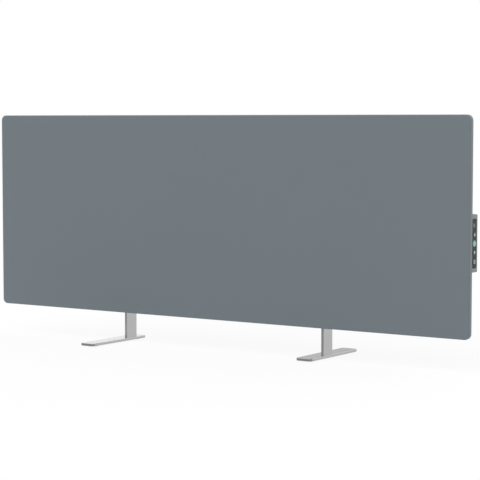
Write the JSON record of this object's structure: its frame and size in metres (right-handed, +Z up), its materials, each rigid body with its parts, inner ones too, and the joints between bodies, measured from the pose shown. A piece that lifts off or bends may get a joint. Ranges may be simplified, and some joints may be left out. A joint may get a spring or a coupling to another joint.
{
  "type": "panel convector heater",
  "caption": "Free-standing electric convector heater: a wide flat grey panel with a rear air channel and a side control strip, on flat metal feet.",
  "frame": {"origin": "on the floor under the middle of the panel, half way between the foremost and hindmost ends of the feet", "axes": "+X along the panel to the side with the controls, +Y from the panel's face to the back, +Z up"},
  "size_m": [1.021, 0.2176, 0.4255],
  "materials": {
    "panel_paint": "fine matt powder coat",
    "cover_paint": "fine matt powder coat",
    "grille_paint": "matt black powder coat",
    "galvanised": "galvanised sheet",
    "bright_sheet": "mill finish",
    "sheath_steel": "heat-tinted sheath",
    "ceramic": "unglazed ceramic",
    "cutout_resin": "phenolic resin",
    "tinned_brass": "tinned",
    "wire_brown": "insulation",
    "wire_blue": "insulation",
    "wire_green": "insulation",
    "wire_white": "silicone insulation",
    "nylon": "natural nylon",
    "black_rubber": "matt",
    "housing_plastic": "fine moulded texture",
    "strip_plastic": "satin dark strip",
    "key_plastic": "satin",
    "lit_key": "translucent, lit from behind",
    "lens_plastic": "tinted clear plastic",
    "board_laminate": "solder-masked laminate",
    "black_plastic": "moulded",
    "lamp_resin": "clear resin",
    "relay_plastic": "moulded",
    "terminal_plastic": "moulded",
    "tilt_plastic": "moulded",
    "tilt_brass": "turned",
    "zinc": "zinc plated",
    "foot_metal": "satin"
  },
  "bodies": {
    "heater": {"bar_screws": "zinc", "bracket_screws": "zinc", "cable_bush": "black_rubber", "ceramic_bush_left": "ceramic", "ceramic_bush_right": "ceramic", "chassis_plate": "galvanised", "chassis_screws": "zinc", "control_housing": "housing_plastic", "control_lid": "housing_plastic", "cover_screws": "zinc", "earth_tab": "tinned_brass", "earth_wire": "wire_green", "element_bracket_left": "galvanised", "element_bracket_right": "galvanised", "element_fins": "bright_sheet", "element_rod": "sheath_steel", "foot_bar_left": "foot_metal", "foot_bar_right": "foot_metal", "foot_pads": "black_rubber", "foot_post_left": "foot_metal", "foot_post_right": "foot_metal", "front_panel": "panel_paint", "heat_shield": "bright_sheet", "housing_screws": "zinc", "indicator_lens": "lens_plastic", "inlet_grilles": "grille_paint", "key_board": "board_laminate", "key_board_screws": "zinc", "key_lamps": "lamp_resin", "key_strip": "strip_plastic", "key_switches": "black_plastic", "lid_screws": "zinc", "link_wire": "wire_white", "live_wire": "wire_brown", "neutral_wire": "wire_blue", "outlet_grille": "grille_paint", "post_nut_plates": "galvanised", "post_screws": "zinc", "power_board": "board_laminate", "power_board_screws": "zinc", "rear_cover": "cover_paint", "relay": "relay_plastic", "room_sensor": "black_plastic", "shield_rivets": "bright_sheet", "supply_module": "black_plastic", "terminal_block": "terminal_plastic", "thermal_cutout": "cutout_resin", "tilt_case": "tilt_plastic", "wire_clips": "nylon", "wire_conduit": "black_rubber"},
    "raise_key": {"raise_button": "key_plastic", "raise_plunger": "black_plastic"},
    "power_key": {"power_button": "lit_key", "power_plunger": "black_plastic"},
    "lower_key": {"lower_button": "key_plastic", "lower_plunger": "black_plastic"},
    "timer_key": {"timer_button": "key_plastic", "timer_plunger": "black_plastic"},
    "tilt_weight": {"tilt_pendulum": "tilt_brass"}
  },
  "joints": [
    {"name": "raise_press", "type": "slide", "parent": "heater", "child": "raise_key", "axis": [-1, 0, 0], "range_m": [0, 0.0005], "stiffness_N_per_m": 2000},
    {"name": "power_press", "type": "slide", "parent": "heater", "child": "power_key", "axis": [-1, 0, 0], "range_m": [0, 0.0005], "stiffness_N_per_m": 2000},
    {"name": "lower_press", "type": "slide", "parent": "heater", "child": "lower_key", "axis": [-1, 0, 0], "range_m": [0, 0.0005], "stiffness_N_per_m": 2000},
    {"name": "timer_press", "type": "slide", "parent": "heater", "child": "timer_key", "axis": [-1, 0, 0], "range_m": [0, 0.0005], "stiffness_N_per_m": 2000},
    {"name": "tilt_swing", "type": "hinge", "parent": "heater", "child": "tilt_weight", "pos_m": [0.477, 0.0021, 0.1988], "axis": [1, 0, 0], "range_deg": [-20, 20]}
  ]
}
